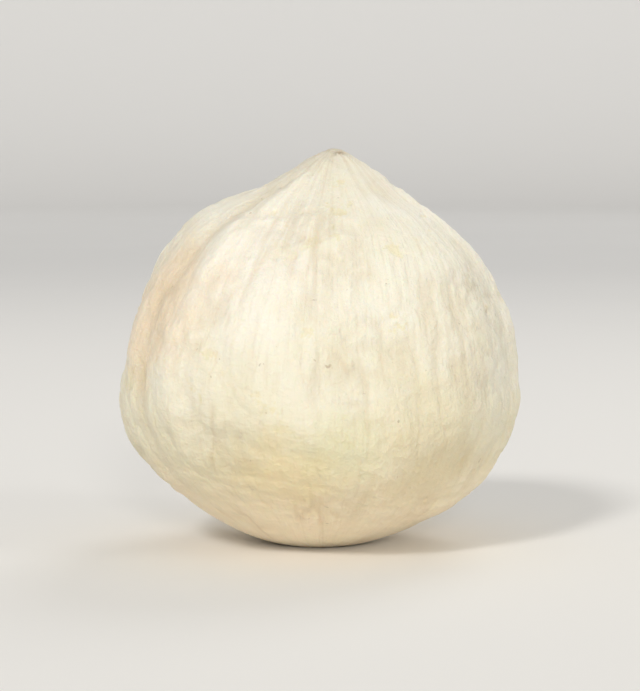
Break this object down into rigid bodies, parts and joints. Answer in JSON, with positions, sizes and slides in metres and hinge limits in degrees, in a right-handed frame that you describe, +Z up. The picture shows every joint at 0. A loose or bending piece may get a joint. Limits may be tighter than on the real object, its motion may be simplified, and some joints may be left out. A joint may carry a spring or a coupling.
{
  "type": "moringa seed kernel",
  "caption": "Shelled seed kernel, nearly a ball, with a short blunt tip, blunt ridges running down from it and a small flat spot to rest on.",
  "frame": {"origin": "on the surface that the kernel rests on, under the middle of its box", "axes": "+Z up along the kernel to its tip; the side that the picture shows faces -Y, with +X to its right"},
  "size_m": [0.008, 0.0078, 0.008],
  "materials": {
    "flesh": "matt cream seed flesh with a thin papery inner skin"
  },
  "bodies": {
    "root": {"kernel": "flesh"}
  },
  "joints": []
}
